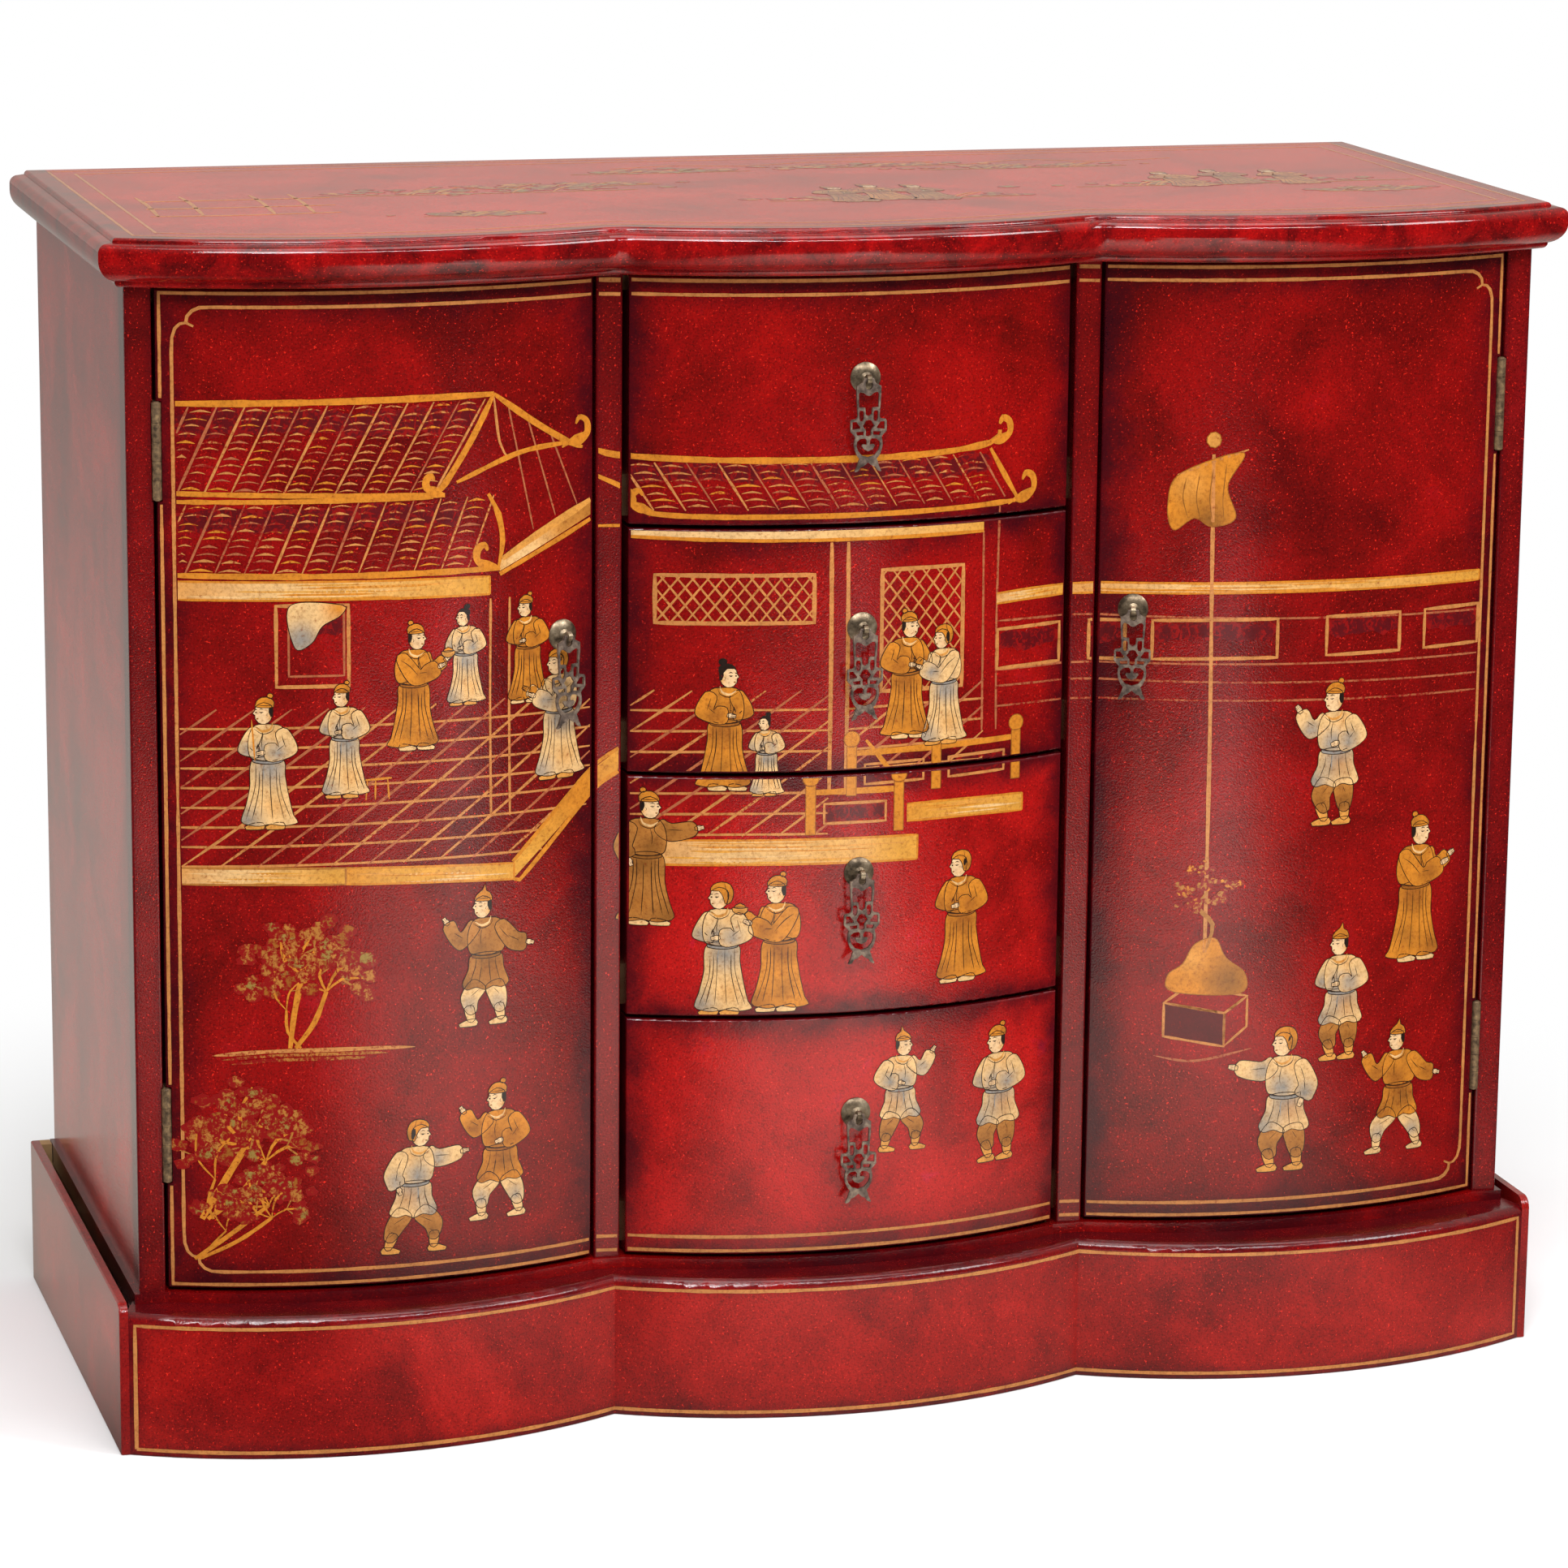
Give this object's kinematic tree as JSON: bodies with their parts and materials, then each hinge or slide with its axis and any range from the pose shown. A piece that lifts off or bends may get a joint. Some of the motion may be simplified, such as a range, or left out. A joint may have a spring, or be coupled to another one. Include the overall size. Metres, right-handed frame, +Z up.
{
  "type": "lacquer cabinet",
  "caption": "Low lacquered cabinet with bowed fronts: hinged doors at the sides, drawers between, swinging openwork pendant pulls, a moulded top and a scalloped plinth.",
  "frame": {"origin": "on the floor, under the middle of the whole cabinet", "axes": "+X to the cabinet's left as it faces the viewer's right, +Y to the back, +Z up; the front faces -Y"},
  "size_m": [1.016, 0.4379, 0.815],
  "materials": {
    "top_lacquer": "glossy crimson lacquer over wood",
    "moulding_lacquer": "glossy crimson lacquer over wood",
    "door_lacquer": "glossy crimson lacquer over wood, black inside",
    "drawer_lacquer": "glossy crimson lacquer over wood",
    "stile_lacquer": "glossy crimson lacquer over wood",
    "plinth_lacquer": "glossy crimson lacquer over wood",
    "carcass_lacquer": "glossy crimson lacquer over wood",
    "inside_lacquer": "dark lacquer",
    "back_wood": "stained plywood",
    "inner_wood": "plain wood",
    "drawer_wood": "plain wood, waxed",
    "pull_brass": "aged",
    "hinge_brass": "worn",
    "shelf_brass": "plain",
    "catch_plastic": "brown",
    "strike_steel": "zinc plated"
  },
  "bodies": {
    "cabinet": {"plinth_front": "plinth_lacquer", "plinth_side_left": "plinth_lacquer", "plinth_side_right": "plinth_lacquer", "plinth_back": "back_wood", "plinth_blocks": "inner_wood", "bottom_board": "carcass_lacquer", "side_panel_left": "carcass_lacquer", "side_panel_right": "carcass_lacquer", "partition_left": "inside_lacquer", "partition_right": "inside_lacquer", "back_panel": "back_wood", "end_stile_left": "stile_lacquer", "end_stile_right": "stile_lacquer", "divider_stile_left": "stile_lacquer", "divider_stile_right": "stile_lacquer", "drawer_runners": "inner_wood", "top_rails": "inner_wood", "shelf_left": "inside_lacquer", "shelf_right": "inside_lacquer", "shelf_pins": "shelf_brass", "top_panel": "top_lacquer", "top_moulding": "moulding_lacquer", "hinge_frame_leaves": "hinge_brass", "hinge_pins": "hinge_brass", "magnet_catches": "catch_plastic"},
    "left_door": {"door_left": "door_lacquer", "hinge_door_leaves_left": "hinge_brass", "strike_plate_left": "strike_steel", "pull_mount_5": "pull_brass"},
    "right_door": {"door_right": "door_lacquer", "hinge_door_leaves_right": "hinge_brass", "strike_plate_right": "strike_steel", "pull_mount_6": "pull_brass"},
    "drawer_1": {"drawer_front_1": "drawer_lacquer", "drawer_sides_1": "drawer_wood", "drawer_back_1": "drawer_wood", "drawer_bottom_1": "drawer_wood", "pull_mount_1": "pull_brass"},
    "drawer_2": {"drawer_front_2": "drawer_lacquer", "drawer_sides_2": "drawer_wood", "drawer_back_2": "drawer_wood", "drawer_bottom_2": "drawer_wood", "pull_mount_2": "pull_brass"},
    "drawer_3": {"drawer_front_3": "drawer_lacquer", "drawer_sides_3": "drawer_wood", "drawer_back_3": "drawer_wood", "drawer_bottom_3": "drawer_wood", "pull_mount_3": "pull_brass"},
    "drawer_4": {"drawer_front_4": "drawer_lacquer", "drawer_sides_4": "drawer_wood", "drawer_back_4": "drawer_wood", "drawer_bottom_4": "drawer_wood", "pull_mount_4": "pull_brass"},
    "pendant_1": {"pull_pendant_1": "pull_brass"},
    "pendant_2": {"pull_pendant_2": "pull_brass"},
    "pendant_3": {"pull_pendant_3": "pull_brass"},
    "pendant_4": {"pull_pendant_4": "pull_brass"},
    "pendant_5": {"pull_pendant_5": "pull_brass"},
    "pendant_6": {"pull_pendant_6": "pull_brass"}
  },
  "joints": [
    {"name": "door_left_hinge", "type": "hinge", "parent": "cabinet", "child": "left_door", "pos_m": [-0.4694, -0.1565, 0.44425], "axis": [0, 0, -1], "range_deg": [0, 140]},
    {"name": "door_right_hinge", "type": "hinge", "parent": "cabinet", "child": "right_door", "pos_m": [0.4694, -0.1565, 0.44425], "axis": [0, 0, 1], "range_deg": [0, 140]},
    {"name": "drawer_1_slide", "type": "slide", "parent": "cabinet", "child": "drawer_1", "axis": [0, -1, 0], "range_m": [0, 0.25]},
    {"name": "drawer_2_slide", "type": "slide", "parent": "cabinet", "child": "drawer_2", "axis": [0, -1, 0], "range_m": [0, 0.25]},
    {"name": "drawer_3_slide", "type": "slide", "parent": "cabinet", "child": "drawer_3", "axis": [0, -1, 0], "range_m": [0, 0.25]},
    {"name": "drawer_4_slide", "type": "slide", "parent": "cabinet", "child": "drawer_4", "axis": [0, -1, 0], "range_m": [0, 0.25]},
    {"name": "pendant_1_swing", "type": "hinge", "parent": "drawer_1", "child": "pendant_1", "pos_m": [0, -0.1964, 0.7125], "axis": [-1, 0, 0], "range_deg": [0, 110]},
    {"name": "pendant_2_swing", "type": "hinge", "parent": "drawer_2", "child": "pendant_2", "pos_m": [0, -0.1964, 0.54355], "axis": [-1, 0, 0], "range_deg": [0, 110]},
    {"name": "pendant_3_swing", "type": "hinge", "parent": "drawer_3", "child": "pendant_3", "pos_m": [0, -0.1964, 0.3746], "axis": [-1, 0, 0], "range_deg": [0, 110]},
    {"name": "pendant_4_swing", "type": "hinge", "parent": "drawer_4", "child": "pendant_4", "pos_m": [0, -0.1964, 0.20565], "axis": [-1, 0, 0], "range_deg": [0, 110]},
    {"name": "pendant_5_swing", "type": "hinge", "parent": "left_door", "child": "pendant_5", "pos_m": [-0.19835, -0.1719, 0.543], "axis": [-0.9529, -0.3034, 0], "range_deg": [0, 110]},
    {"name": "pendant_6_swing", "type": "hinge", "parent": "right_door", "child": "pendant_6", "pos_m": [0.19835, -0.1719, 0.543], "axis": [-0.9529, 0.3034, 0], "range_deg": [0, 110]}
  ]
}
